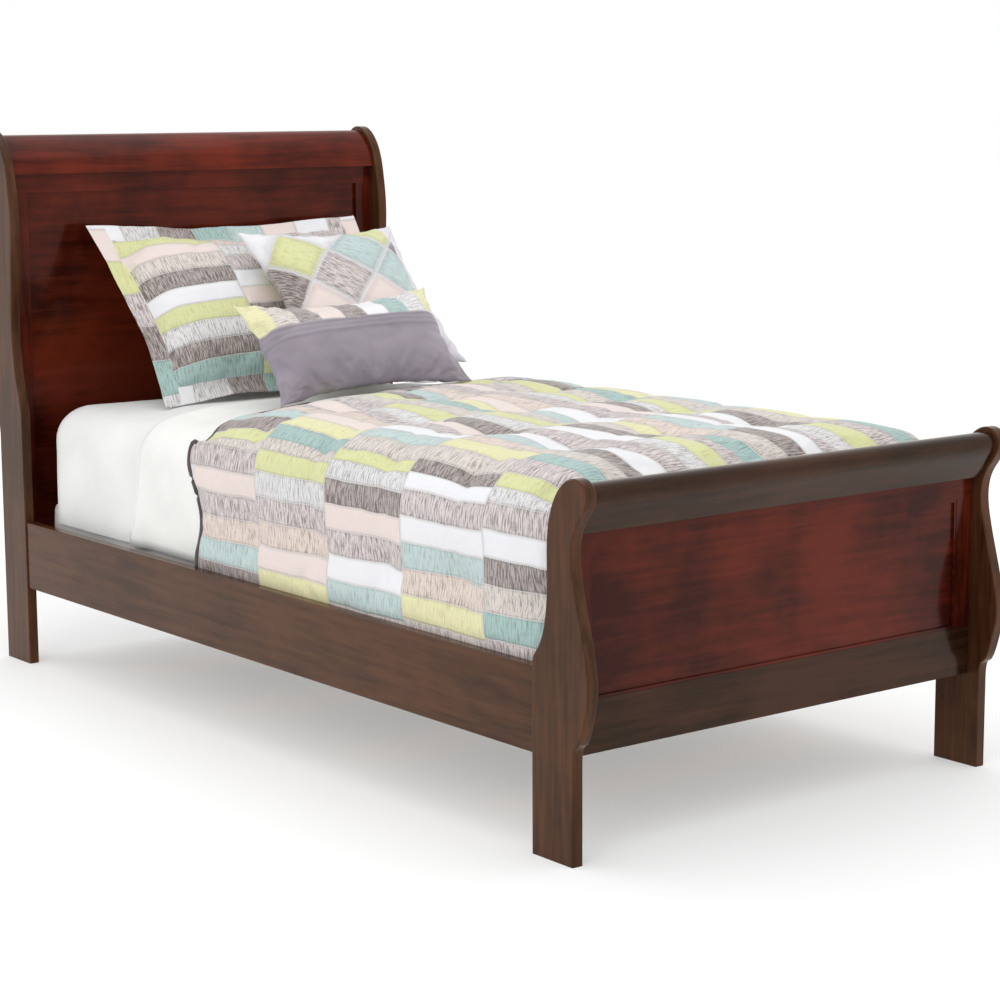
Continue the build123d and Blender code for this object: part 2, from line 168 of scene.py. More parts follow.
class Graph:
    """A material's nodes, with short ways to add and join them."""

    def __init__(self, name):
        self.material = bpy.data.materials.new(name)
        self.material.use_nodes = True
        self.tree = self.material.node_tree
        self.shader = self.tree.nodes["Principled BSDF"]

    def add(self, kind, sockets=None, **settings):
        made = self.tree.nodes.new("ShaderNode" + kind)
        for key, value in settings.items():
            setattr(made, key, value)
        for key, value in (sockets or {}).items():
            if isinstance(value, bpy.types.NodeSocket):
                self.tree.links.new(value, made.inputs[key])
            else:
                made.inputs[key].default_value = value
        return made

    def maths(self, operation, first, second=0.0, third=0.0):
        return self.add("Math", {0: first, 1: second, 2: third}, operation=operation).outputs[0]

    def ramp(self, factor, stops, interpolation="LINEAR"):
        """stops are (place, colour) pairs; a colour may hold alpha as its fourth value."""
        made = self.add("ValToRGB", {0: factor})
        made.color_ramp.interpolation = interpolation
        elements = made.color_ramp.elements
        while len(elements) > 1:
            elements.remove(elements[-1])
        elements[0].position = stops[0][0]
        for position, colour in stops[1:]:
            elements.new(position)
        for element, (position, colour) in zip(elements, stops):
            element.color = tuple(colour) if len(colour) == 4 else (*colour, 1)
        return made

    def mix(self, factor, first, second, blend="MIX"):
        made = self.add("Mix", {0: factor}, data_type="RGBA", blend_type=blend)
        for socket, value in ((made.inputs[6], first), (made.inputs[7], second)):
            if isinstance(value, bpy.types.NodeSocket):
                self.tree.links.new(value, socket)
            else:
                socket.default_value = (*value, 1)
        return made.outputs[2]

    def noise(self, vector, scale, detail=4.0, roughness=0.5):
        sockets = {"Vector": vector, "Scale": scale, "Detail": detail, "Roughness": roughness}
        return self.add("TexNoise", sockets).outputs[0]

    def stretched(self, vector, scales):
        return self.add("Mapping", {"Vector": vector, "Scale": scales}).outputs[0]

    def place(self):
        return self.add("TexCoord").outputs["Object"]

    def set(self, **sockets):
        """Joins or sets the shader's sockets; an underscore in a name stands for a space."""
        for key, value in sockets.items():
            socket = self.shader.inputs[key.replace("_", " ")]
            if isinstance(value, bpy.types.NodeSocket):
                self.tree.links.new(value, socket)
            else:
                socket.default_value = value
        return self

    def bump(self, height, strength, distance):
        made = self.add("Bump", {"Height": height, "Strength": strength, "Distance": distance})
        self.set(Normal=made.outputs[0])
        return self


def give(material, *names):
    """Puts a finish on pieces of the frame."""
    for name in names:
        data = nodes[name].data
        data.materials.clear()
        data.materials.append(material)


# %% [markdown]
# ## Cherry stain under lacquer
# The wood is stained dark cherry and lacquered to a shine. Grain is noise squeezed hard across the
# board and stretched along it; a slower cloud gives the mottled figure of veneer. Each board gets a
# finish whose grain runs the way that board was cut. Panels are redder than posts and side rails, and
# the footboard's crest and lower rails are the brownest. Posts and side rails share the panels' red
# stain; their browner colour is painted reflection, the pale sheen their side faces catch, mixed in.

# %% Wood finishes
GRAIN_SQUEEZE = {"X": (1.0, 14.0, 14.0), "Y": (14.0, 1.0, 14.0), "Z": (14.0, 14.0, 1.0)}


def lacquered_wood(name, grain, dark, light, figure, glint):
    """Stained wood with its grain along one axis. glint is the tint of its reflections."""
    graph = Graph(name)
    place = graph.place()
    squeezed = graph.stretched(place, GRAIN_SQUEEZE[grain])
    streaks = graph.noise(squeezed, 5.0, 6.0, 0.55)
    pores = graph.noise(graph.stretched(squeezed, (3.0, 3.0, 3.0)), 18.0, 3.0, 0.7)
    cloud = graph.noise(place, 3.2, 4.0, 0.6)
    grain_mix = graph.maths("MULTIPLY_ADD", cloud, figure, graph.maths("MULTIPLY", streaks, 1 - figure))
    colour = graph.ramp(grain_mix, ((0.40, dark), (0.58, light))).outputs[0]
    pore_lines = graph.ramp(pores, ((0.34, (0.62, 0.55, 0.52)), (0.46, (1, 1, 1)))).outputs[0]
    graph.set(Base_Color=graph.mix(0.35, colour, pore_lines, "MULTIPLY"))
    graph.set(Roughness=graph.maths("MULTIPLY_ADD", streaks, 0.14, 0.12))
    graph.set(Coat_Weight=0.12, Coat_Roughness=0.05, Specular_IOR_Level=0.2)
    graph.set(Specular_Tint=(*glint, 1), Coat_Tint=(*glint, 1))
    return graph.bump(streaks, 0.03, 0.002).material


WARM_GLINT, RED_GLINT = (1.0, 0.74, 0.5), (1.0, 0.5, 0.42)
# Posts and side rails: the red stain with a painted reflection mixed in, the pale sheen of their side faces,
# which makes them browner.
side_dark_with_sheen, side_light_with_sheen = srgb(52, 29, 16), srgb(80, 49, 30)
board_dark, board_light = srgb(44, 11, 6), srgb(92, 33, 16)
crest_dark, crest_light = srgb(54, 15, 8), srgb(100, 33, 16)
brown_dark, brown_light = srgb(32, 18, 11), srgb(58, 34, 23)
post_wood = lacquered_wood("cherry_post", "Z", side_dark_with_sheen, side_light_with_sheen, 0.5, WARM_GLINT)
rail_wood = lacquered_wood("cherry_side_rail", "Y", side_dark_with_sheen, side_light_with_sheen, 0.5, WARM_GLINT)
board_wood = lacquered_wood("cherry_board", "X", board_dark, board_light, 0.72, RED_GLINT)
stile_wood = lacquered_wood("cherry_stile", "Z", board_dark, board_light, 0.6, RED_GLINT)
crest_wood = lacquered_wood("cherry_crest", "X", crest_dark, crest_light, 0.65, RED_GLINT)
brown_wood = lacquered_wood("cherry_footboard_rail", "X", brown_dark, brown_light, 0.55, WARM_GLINT)

for end in ("foot", "head"):
    give(board_wood, f"{end}_upper_rail", f"{end}_panel")
    for side in ("left", "right"):
        give(post_wood, f"{end}_post_{side}")
        give(stile_wood, f"{end}_stile_{side}")
give(board_wood, "head_lower_rail", "foot_panel_bead")
give(crest_wood, "head_crest_rail")
give(brown_wood, "foot_crest_rail", "foot_lower_rail")
give(post_wood, "bolt_plugs")
give(rail_wood, "side_rail_left", "side_rail_right")
cherry_woods = (post_wood, rail_wood, board_wood, stile_wood, crest_wood, brown_wood)
print("cherry finishes", [m.name for m in cherry_woods])

# %% [markdown]
# ## Hidden timber and steel
# Slats and ledgers are bare softwood, sanded but never stained. The hooked connectors are bright
# zinc-plated steel, with faint rolling lines.

# %% Timber and steel
def bare_timber(name, grain):
    graph = Graph(name)
    squeezed = graph.stretched(graph.place(), GRAIN_SQUEEZE[grain])
    rings = graph.noise(squeezed, 7.0, 6.0, 0.6)
    colour = graph.ramp(rings, ((0.35, srgb(176, 138, 90)), (0.62, srgb(226, 198, 150)))).outputs[0]
    graph.set(Base_Color=colour, Roughness=0.7)
    return graph.bump(rings, 0.2, 0.002).material


def plated_steel(name, tone):
    graph = Graph(name)
    lines = graph.noise(graph.stretched(graph.place(), (300.0, 300.0, 12.0)), 3.0, 2.0)
    colour = graph.ramp(lines, ((0.3, tuple(0.8 * c for c in tone)), (0.7, tone))).outputs[0]
    graph.set(Base_Color=colour, Metallic=1.0, Roughness=graph.maths("MULTIPLY_ADD", lines, 0.2, 0.22))
    return graph.bump(lines, 0.05, 0.0005).material


slat_timber = bare_timber("pine_slat", "X")
ledger_timber = bare_timber("pine_ledger", "Y")
zinc = plated_steel("zinc_plate", srgb(196, 198, 200))
screw_zinc = plated_steel("zinc_screw", srgb(180, 178, 168))
slats = sorted(n for n in nodes if n.startswith("slat_") and n[5:].isdigit())
give(slat_timber, *slats, "foot_dowels", "head_dowels", "foundation_deck")
give(ledger_timber, "slat_ledger_left", "slat_ledger_right", "foundation_frame")
give(zinc, *[n for n in nodes if n.startswith(("hook_plate", "slot_plate"))])
give(screw_zinc, "crest_bolts", "ledger_screws", "slat_screws", "connector_screws")
print(len(slats), "slats and their hardware are finished")

# %% [markdown]
# ## Meshes for cloth
# Bedding wraps a block with soft shoulders. Every point of a fine grid on the block's faces is pulled
# to the block's rounded skin, and then moved a little by noise. Each face also stores its place on the
# flat cloth, in metres, so that a woven or pieced pattern runs true over the edge.

# %% Wrapping helpers
WRAP_FACES = {
    "top": (2, 1, 0, 1),
    "left": (0, 0, 1, 2),
    "right": (0, 1, 1, 2),
    "foot": (1, 0, 0, 2),
    "head": (1, 1, 0, 2),
    "bottom": (2, 0, 0, 1),
}


def rounded(points, low, high, radius, faces):
    """Points of a block's surface pulled onto the same block with round edges. An open end isn't rounded."""
    soft_low = radius * np.array([1, "foot" in faces, "bottom" in faces])
    soft_high = radius * np.array([1, "head" in faces, 1])
    inner = np.clip(points, low + soft_low, high - soft_high)
    away = points - inner
    length = np.linalg.norm(away, axis=1, keepdims=True)
    return inner + away / np.maximum(length, 1e-9) * radius


def flat_place(face, points, low, high):
    """Where points of one face lie on the flat cloth, across and along."""
    x, y, z = points.T
    if face == "left":
        return np.stack([low[0] - (high[2] - z), y], 1)
    if face == "right":
        return np.stack([high[0] + (high[2] - z), y], 1)
    if face == "foot":
        return np.stack([x, low[1] - (high[2] - z)], 1)
    if face == "head":
        return np.stack([x, high[1] + (high[2] - z)], 1)
    return np.stack([x, y], 1)


def wrap(name, low, high, radius, step, faces, shape):
    """A cloth skin over some faces of a block. shape moves the points, given also their flat places."""
    low, high = np.array(low, float), np.array(high, float)
    counts = np.maximum(2, np.round((high - low) / np.array(step)).astype(int))
    mesh = bmesh.new()
    flat_layer = mesh.loops.layers.uv.new("cloth")
    for face in faces:
        fixed, upper, first, second = WRAP_FACES[face]
        shares = [np.linspace(0, 1, counts[axis] + 1) for axis in (first, second)]
        a, b = np.meshgrid(*shares, indexing="ij")
        points = np.zeros((a.size, 3))
        points[:, first] = low[first] + a.ravel() * (high[first] - low[first])
        points[:, second] = low[second] + b.ravel() * (high[second] - low[second])
        points[:, fixed] = high[fixed] if upper else low[fixed]
        flat = flat_place(face, points, low, high)
        moved = shape(rounded(points, low, high, radius, faces))
        made = [mesh.verts.new(p) for p in moved]
        columns = counts[second] + 1
        for i in range(counts[first]):
            for j in range(counts[second]):
                ids = [i * columns + j, (i + 1) * columns + j, (i + 1) * columns + j + 1, i * columns + j + 1]
                quad = mesh.faces.new([made[k] for k in ids])
                quad.smooth = True
                for loop, k in zip(quad.loops, ids):
                    loop[flat_layer].uv = flat[k]
    bmesh.ops.remove_doubles(mesh, verts=mesh.verts, dist=1e-5)
    bmesh.ops.recalc_face_normals(mesh, faces=mesh.faces)
    return finish_mesh(name, mesh)


def finish_mesh(name, mesh):
    """A linked object from a bmesh."""
    data = bpy.data.meshes.new(name)
    mesh.to_mesh(data)
    mesh.free()
    made = bpy.data.objects.new(name, data)
    scene.collection.objects.link(made)
    return made


def wobble(points, scale, amount, seed=0.0):
    """Smooth noise at each point, from -amount to amount."""
    shift = Vector((seed, 2.3 * seed, -seed))
    return np.array([noise.noise(Vector(p * scale) + shift) for p in points]) * amount


def smoothstep(t):
    t = np.clip(t, 0, 1)
    return t * t * (3 - 2 * t)


def bed_crown(points):
    """How far the top of the mattress falls away towards the bed's sides and its head."""
    sides = smoothstep((np.abs(points[:, 0]) - 0.27) / 0.2) * 0.018
    head = smoothstep((points[:, 1] - head_y + 0.22) / 0.2) * 0.016
    return -np.maximum(sides, head)


def outward_of_block(points, low, high):
    """Rough outward directions of points on a block, for moving cloth out or in."""
    centre, half = (low + high) / 2, (high - low) / 2
    away = (points - centre) / half
    away = np.sign(away) * np.abs(away) ** 6
    return away / np.maximum(np.linalg.norm(away, axis=1, keepdims=True), 1e-9)


# %% [markdown]
# ## White cotton
# Sheets are a plain weave: fine bump in two directions, a slight sheen, and a white that is never
# quite even.

# %% White fabrics
def woven(name, pale, shade, thread, sheen=0.3, roughness=0.85):
    """Plain-woven cloth; thread is the spacing of its threads in metres."""
    graph = Graph(name)
    place = graph.place()
    cloud = graph.noise(place, 6.0, 4.0)
    graph.set(Base_Color=graph.ramp(cloud, ((0.35, shade), (0.65, pale))).outputs[0])
    graph.set(Roughness=roughness, Sheen_Weight=sheen, Sheen_Roughness=0.4, Specular_IOR_Level=0.25)
    weave = graph.noise(place, 0.35 / thread, 2.0, 0.8)
    soft = graph.maths("MULTIPLY_ADD", graph.noise(place, 14.0, 3.0), 6.0, weave)
    return graph.bump(soft, 0.25, 0.0012).material


sheet_cloth = woven("sheet_cotton", srgb(232, 232, 230), srgb(222, 222, 220), 0.0006)
blanket_cloth = woven("blanket_cotton", srgb(236, 236, 233), srgb(226, 226, 223), 0.0009)
ticking_cloth = woven("ticking", srgb(240, 240, 238), srgb(224, 224, 222), 0.001)
base_cloth = woven("foundation_cloth", srgb(226, 226, 224), srgb(208, 208, 206), 0.0012)
foam = woven("foam", srgb(238, 228, 196), srgb(226, 214, 176), 0.002, sheen=0.0)
fibre = woven("pillow_fibre", srgb(248, 248, 248), srgb(236, 236, 236), 0.002)
give(foam, "mattress_top_foam", "mattress_edge_foam", "mattress_base_foam")
give(ticking_cloth, "mattress_spring_unit")
give(base_cloth, "foundation_base_cloth")
give(fibre, "sham_insert", "square_pillow_insert", "oblong_pillow_insert")
print("white fabrics are ready")

# %% [markdown]
# ## Foundation and mattress
# Both are upholstered boxes: a rounded skin with a corded edge round the top and the bottom. The
# mattress crowns a little and its borders bulge between the two cords.

# %% Boxes with corded edges
def corded_box(name, node, radius, bulge, cloth, body, hidden=(), crowned=0):
    """An upholstered box in the place of a plain one."""
    low, high = corners(node)
    middle, half = (low + high) / 2, (high - low) / 2

    def shape(points):
        out = outward_of_block(points, low, high)
        level = np.clip(np.abs(points[:, 2] - middle[2]) / half[2], 0, 1)
        swell = (1 - level**2) * bulge - bulge
        moved = points + out * swell[:, None] * np.array([1, 1, 0])
        on_top = smoothstep((points[:, 2] - high[2] + 0.09) / 0.06)
        moved[:, 2] += crowned * (bed_crown(points) - 0.003) * on_top - 0.001
        return moved

    box = wrap(name, low, high, radius, (0.03, 0.03, 0.02), WRAP_FACES, shape)
    box.data.materials.append(cloth)
    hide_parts(node, *hidden)
    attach(box, body)
    for tag, z in (("lower", low[2] + radius), ("upper", high[2] - radius)):
        cord = edge_cord(f"{name}_{tag}_cord", low, high, z, 0.004, radius, bulge)
        cord.data.materials.append(cloth)
        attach(cord, body)
    return box


def tube(name, path, thickness, sides=8, closed=True):
    """A round cord swept along points."""
    path = np.array(path)
    ahead = np.roll(path, -1, 0) - np.roll(path, 1, 0)
    if not closed:
        ahead[0], ahead[-1] = path[1] - path[0], path[-1] - path[-2]
    mesh = bmesh.new()
    rings = []
    for point, way in zip(path, ahead):
        way = Vector(way).normalized()
        side = way.cross(Vector((0, 0, 1)) if abs(way.z) < 0.9 else Vector((0, 1, 0))).normalized()
        up = side.cross(way)
        angles = [2 * math.pi * k / sides for k in range(sides)]
        spokes = [thickness * (math.cos(a) * side + math.sin(a) * up) for a in angles]
        rings.append([mesh.verts.new(Vector(point) + spoke) for spoke in spokes])
    count = len(rings)
    for i in range(count if closed else count - 1):
        here, there = rings[i], rings[(i + 1) % count]
        for k in range(sides):
            mesh.faces.new((here[k], here[(k + 1) % sides], there[(k + 1) % sides], there[k])).smooth = True
    if not closed:
        mesh.faces.new(rings[0])
        mesh.faces.new(rings[-1][::-1])
    bmesh.ops.recalc_face_normals(mesh, faces=mesh.faces)
    return finish_mesh(name, mesh)


def edge_cord(name, low, high, z, thickness, radius, bulge):
    """A cord round a box at one height."""
    inset = bulge + thickness
    x, y = (high - low)[:2] / 2 - inset
    centre = (low + high) / 2
    corner = max(radius, 0.03)
    path = []
    for quarter, (sx, sy) in enumerate(((1, 1), (-1, 1), (-1, -1), (1, -1))):
        for k in range(7):
            angle = math.pi / 2 * (quarter + k / 6)
            px = centre[0] + sx * (x - corner) + corner * math.cos(angle)
            py = centre[1] + sy * (y - corner) + corner * math.sin(angle)
            path.append((px, py, z))
    return tube(name, path, thickness)


inner_foam = ("mattress_top_foam", "mattress_edge_foam", "mattress_base_foam", "mattress_spring_unit")
foundation = corded_box("foundation", "foundation_cover", 0.02, 0.004, base_cloth, "foundation")
mattress = corded_box(
    "mattress", "mattress_cover", 0.072, 0.003, ticking_cloth, "mattress", inner_foam, crowned=1
)
print("foundation and mattress", len(foundation.data.vertices), len(mattress.data.vertices))

# %% [markdown]
# ## Fitted sheet
# The sheet is pulled over the mattress and tucked down beside it. It shows long, soft folds on the
# side, where the pull eases between the corners, and a rounder shoulder than the mattress has.

# %% Fitted sheet
sheet_low, sheet_high = corners("fitted_sheet")
SHEET_RADIUS = 0.074


def sheet_folds(points):
    """Soft upright folds down the sides and shallow ones on top."""
    out = outward_of_block(points, sheet_low, sheet_high)
    side = smoothstep((sheet_high[2] - points[:, 2] - 0.05) / 0.12)
    folds = wobble(points * np.array([1, 1, 0.16]), 9, 0.005, 3.1)
    folds = folds + wobble(points * np.array([1, 1, 0.4]), 19, 0.002, 6.4)
    top = wobble(points, 5, 0.003, 1.7) + wobble(points * np.array([1, 2.2, 1]), 9, 0.002, 4.1)
    moved = points + out * (folds * side + 0.001)[:, None] * np.array([1, 1, 0])
    moved[:, 2] += (top + bed_crown(points)) * (1 - side)
    return moved


fitted_sheet = wrap(
    "fitted_sheet_cloth", sheet_low, sheet_high, SHEET_RADIUS, (0.02, 0.02, 0.02),
    ("top", "left", "right", "foot", "head"), sheet_folds,
)
fitted_sheet.data.materials.append(sheet_cloth)
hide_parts("fitted_sheet")
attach(fitted_sheet, "mattress")

# %% [markdown]
# ## Blanket
# A white cotton blanket lies over the sheet from the foot upwards. Its head edge is a soft fold that
# runs a little askew, so it is cut along a slanting line. It hangs closer than the sheet, in slow waves.

# %% Rolled edges
def rim_of(piece):
    """Marks the vertices on a piece's open edges, and gives every vertex's flat place."""
    mesh = bmesh.new()
    mesh.from_mesh(piece.data)
    rim = np.zeros(len(mesh.verts))
    for edge in mesh.edges:
        if edge.is_boundary:
            rim[[v.index for v in edge.verts]] = 1
    mesh.free()
    flat = np.zeros((len(rim), 2))
    layer = piece.data.uv_layers["cloth"].data
    for loop in piece.data.loops:
        flat[loop.vertex_index] = layer[loop.index].uv
    return rim, flat


def edge_roll(name, piece, beyond, thickness, cloth, shift):
    """A soft roll along the head edge of a wrapped piece, beyond some place up the bed."""
    rim, flat = rim_of(piece)
    skin = np.array([v.co for v in piece.data.vertices])
    lowest = skin[:, 2].min() + 0.004
    along = [i for i in np.flatnonzero(rim) if skin[i][1] > beyond and skin[i][2] > lowest]
    path = skin[sorted(along, key=lambda i: flat[i][0])] + np.array(shift)
    roll = tube(name, path, thickness, 10, closed=False)
    roll.data.materials.append(cloth)
    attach(roll, "mattress")
    print(name, "follows", len(path), "points")
    return roll


# %% Blanket
blanket_low, blanket_high = corners("blanket")
blanket_edge_near, blanket_edge_far = foot_y + 1.445, foot_y + 1.585
blanket_length = blanket_edge_near - blanket_low[1]


def blanket_waves(points):
    """Slants the head edge, rolls it down to the sheet, and waves the sides."""
    share = (points[:, 1] - blanket_low[1]) / blanket_length
    across = np.clip((points[:, 0] - blanket_low[0]) / (blanket_high[0] - blanket_low[0]), 0, 1)
    reach = blanket_length + across * (blanket_edge_far - blanket_edge_near)
    moved = points.copy()
    moved[:, 1] = blanket_low[1] + share * reach
    drop = np.clip((blanket_high[2] - points[:, 2]) / 0.28, 0, 1)
    moved[:, 1] += 0.07 * drop**1.5 * share**6 + wobble(points * np.array([0, 0, 1]), 9, 0.008, 4) * share**6
    out = outward_of_block(points, blanket_low, blanket_high)
    folds = wobble(points * np.array([1, 1, 0.2]), 7, 0.006, 8.1) * smoothstep(drop * 3)
    moved += out * folds[:, None] * np.array([1, 1, 0])
    on_top = 1 - smoothstep(drop * 2)
    moved[:, 2] += (wobble(points, 5, 0.003, 1.7) + bed_crown(moved) + 0.002) * on_top
    ridge = 0.006 * np.exp(-(((share - 0.985) / 0.018) ** 2))
    moved += out * ridge[:, None]
    return moved


blanket = wrap(
    "blanket_cloth", blanket_low, (blanket_high[0], blanket_edge_near, blanket_high[2]), SHEET_RADIUS,
    (0.02, 0.015, 0.02), ("top", "left", "right", "foot"), blanket_waves,
)
thicken = blanket.modifiers.new("thickness", "SOLIDIFY")
thicken.thickness, thicken.offset = 0.005, 1
blanket.data.materials.append(blanket_cloth)
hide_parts("blanket")
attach(blanket, "mattress")
blanket_fold = edge_roll(
    "blanket_fold", blanket, foot_y + 1.2, 0.006, blanket_cloth, (0, 0, -0.003)
)

# %% [markdown]
# ## Pieced patchwork
# The comforter's face is strips of small pieces, 257 mm long and 50 mm high, tucked together at every
# seam. Some pieces are plain cotton and some carry dark pen strokes. A string of letters names the
# pieces down one strip, so the pattern can be read and changed like a knitting chart. The stroke
# strength of each colour travels in the ramp's alpha.

# %% Patchwork palette
CLOTHS = {
    "g": (srgb(214, 216, 162), 0.10),
    "a": (srgb(190, 208, 206), 0.25),
    "t": (srgb(166, 193, 189), 0.35),
    "k": (srgb(180, 170, 166), 1.0),
    "b": (srgb(217, 209, 202), 0.5),
    "m": (srgb(216, 206, 205), 0.75),
    "p": (srgb(228, 214, 209), 0.0),
    "s": (srgb(224, 209, 199), 0.45),
    "w": (srgb(232, 232, 235), 0.0),
    "l": (srgb(222, 221, 221), 0.5),
    "y": (srgb(226, 222, 176), 0.10),
}
STROKE_INK = srgb(84, 74, 74)


SEAM_WIDTH, SEAM_COLOUR = 0.0026, (0.8, 0.79, 0.76)


def pieced_colour(
    graph, flat, strips, piece, origin, seam=SEAM_WIDTH, seam_colour=SEAM_COLOUR, shifts=None, drawn_on=None
):
    """Colour and height of pieced strips. flat holds the place on the cloth; piece is (strip, piece) size.
    shifts says how many pieces each strip is slid along its own length; drawn_on is where strokes run."""
    shifts = shifts or [0.37 * index for index in range(len(strips))]
    wander = graph.noise(flat, 9.0, 2.0)
    split = graph.add("SeparateXYZ", {0: flat}).outputs
    across = graph.maths("MULTIPLY_ADD", wander, 0.008, split[0])
    along = graph.maths("MULTIPLY_ADD", wander, 0.012, split[1])
    strip_place = graph.maths("DIVIDE", graph.maths("SUBTRACT", along, origin[1]), piece[0])
    piece_place = graph.maths("DIVIDE", graph.maths("SUBTRACT", across, origin[0]), piece[1])
    strip = graph.maths("WRAP", graph.maths("FLOOR", strip_place), len(strips), 0.0)
    count = len(strips[0])
    colour = ink = None
    for index, letters in enumerate(strips):
        shifted = graph.maths("ADD", piece_place, shifts[index])
        turn = graph.maths("WRAP", graph.maths("DIVIDE", shifted, count), 1.0, 0.0)
        stops = [(k / count, (*CLOTHS[letter][0], CLOTHS[letter][1])) for k, letter in enumerate(letters)]
        ramp = graph.ramp(turn, stops, "CONSTANT").outputs
        if colour is None:
            colour, ink, edge_place = ramp[0], ramp[1], shifted
            continue
        here = graph.maths("COMPARE", strip, float(index), 0.1)
        colour = graph.mix(here, colour, ramp[0])
        ink = graph.add("Mix", {0: here, 2: ink, 3: ramp[1]}, data_type="FLOAT").outputs[0]
        edge_place = graph.add("Mix", {0: here, 2: edge_place, 3: shifted}, data_type="FLOAT").outputs[0]
    to_piece_edge = graph.maths("MULTIPLY", graph.maths("PINGPONG", edge_place, 0.5), piece[1])
    to_strip_edge = graph.maths("MULTIPLY", graph.maths("PINGPONG", strip_place, 0.5), piece[0])
    to_edge = graph.maths("MINIMUM", to_piece_edge, to_strip_edge)
    strokes = graph.noise(graph.stretched(drawn_on or flat, (34.0, 330.0, 1.0)), 1.0, 5.0, 0.68)
    pressed = graph.maths("MULTIPLY_ADD", ink, 0.075, strokes)
    drawn = graph.ramp(pressed, ((0.535, (0, 0, 0)), (0.62, (1, 1, 1)))).outputs[0]
    inked = graph.maths("MULTIPLY", drawn, graph.maths("MULTIPLY", graph.maths("SQRT", ink), 0.8))
    colour = graph.mix(inked, colour, STROKE_INK)
    line = graph.ramp(graph.maths("DIVIDE", to_edge, seam), ((0.25, (1, 1, 1)), (0.6, (0, 0, 0)))).outputs[0]
    colour = graph.mix(graph.maths("MULTIPLY", line, 0.75), colour, seam_colour)
    # Painted shade: the colour is darkened in a narrow band along every seam, for the shadow inside the tucks
    # there.
    tuck_shade_stops = ((0.3, (0.62, 0.6, 0.6)), (0.75, (1, 1, 1)))
    tuck = graph.ramp(graph.maths("DIVIDE", to_edge, 2.4 * seam), tuck_shade_stops).outputs[0]
    colour = graph.mix(0.35, colour, tuck, "MULTIPLY")
    height_stops = ((0.0, (0, 0, 0)), (0.35, (0.7, 0.7, 0.7)), (1.0, (1, 1, 1)))
    height = graph.ramp(graph.maths("DIVIDE", to_edge, 0.012), height_stops).outputs[0]
    return colour, height


def pieced_cloth(name, strips, piece, origin, **style):
    """Patchwork cotton, on the flat cloth's own places."""
    graph = Graph(name)
    flat = graph.add("UVMap", uv_map="cloth").outputs[0]
    colour, height = pieced_colour(graph, flat, strips, piece, origin, **style)
    return finish_cotton(graph, flat, colour, height)


def finish_cotton(graph, flat, colour, height):
    """Soft cotton over a pieced colour: thread, crumple and seam height in one bump."""
    crumple = graph.noise(graph.stretched(flat, (30.0, 60.0, 1.0)), 1.0, 4.0, 0.6)
    soil = graph.ramp(graph.noise(flat, 5.0, 3.0), ((0.3, (0.95, 0.95, 0.95)), (0.7, (1, 1, 1)))).outputs[0]
    thread = graph.noise(flat, 1400.0, 2.0, 0.7)
    lift = graph.maths("MULTIPLY_ADD", crumple, 0.9, graph.maths("MULTIPLY_ADD", thread, 0.12, height))
    graph.set(Base_Color=graph.mix(1.0, colour, soil, "MULTIPLY"), Roughness=0.8)
    graph.set(Sheen_Weight=0.25, Sheen_Roughness=0.4, Specular_IOR_Level=0.25)
    return graph.bump(lift, 0.55, 0.006).material


PIECE = (0.257, 0.05)
HEM_PLACE = -0.866
FIRST_SEAM = foot_y + 0.94
SIDE_STRIPS = {"gbmpmsak": 0.0, "glmwkbtm": 0.06, "kwmwasyb": 0.2, "glkpmwab": 0.38, "tbglmspy": -0.28}
hem_first = [letters[::-1] for letters in SIDE_STRIPS]
patchwork = pieced_cloth(
    "comforter_patchwork", hem_first, PIECE, (HEM_PLACE, FIRST_SEAM), shifts=list(SIDE_STRIPS.values())
)
piping_cotton = woven("dark_piping", srgb(92, 84, 86), srgb(66, 60, 62), 0.0008)
print(len(CLOTHS), "cloths in", len(SIDE_STRIPS), "strips")

# %% [markdown]
# ## Comforter
# The comforter is a thick quilt held by tufts. Between tufts it puffs, and at each tuft it puckers.
# The skin is first laid as a smooth wrap, then a cloth simulation blows it outwards while the tufts
# and the hems are pinned. The fabric is given a few percent more length than the wrap, so the
# simulation has cloth to pucker with. Afterwards the skin is thickened inwards.

# %% Blowing cloth up
def blow(piece, pins, pressure, slack, cap, frames=20, stiffness=12.0):
    """Swells a skin by cloth pressure. pins holds each vertex, from 0, free, to 1, held."""
    before = np.array([v.co for v in piece.data.vertices])
    group = piece.vertex_groups.new(name="pins")
    for index, weight in enumerate(pins):
        if weight > 0:
            group.add([index], float(weight), "REPLACE")
    modifier = piece.modifiers.new("blow", "CLOTH")
    settings = modifier.settings
    settings.quality = 5
    settings.mass = 0.15
    settings.tension_stiffness = settings.compression_stiffness = settings.shear_stiffness = stiffness
    settings.bending_stiffness = 0.05
    settings.vertex_group_mass = "pins"
    settings.use_pressure = True
    settings.uniform_pressure_force = pressure
    settings.shrink_min = -slack
    settings.effector_weights.gravity = 0
    modifier.collision_settings.use_collision = False
    modifier.point_cache.frame_start, modifier.point_cache.frame_end = 1, frames
    for frame_number in range(1, frames + 1):
        scene.frame_set(frame_number)
    settled = piece.evaluated_get(bpy.context.evaluated_depsgraph_get())
    after = np.array([v.co for v in settled.to_mesh().vertices])
    settled.to_mesh_clear()
    piece.modifiers.remove(modifier)
    piece.vertex_groups.clear()
    scene.frame_set(1)
    move = after - before
    length = np.linalg.norm(move, axis=1, keepdims=True)
    move *= cap * np.tanh(length / cap) / np.maximum(length, 1e-9)
    piece.data.vertices.foreach_set("co", (before + move).ravel())
    piece.data.update()
    print(piece.name, "swelled at most", round(float(length.max()) * 1000, 1), "mm")


# %% Comforter skin
quilt_low, quilt_high = corners("comforter")
QUILT_TOP = quilt_high[2] - 0.012
edge_near, edge_far = foot_y + 1.205, foot_y + 1.47
TUFT_DEPTH = 0.012
QUILT_RADIUS = 0.075


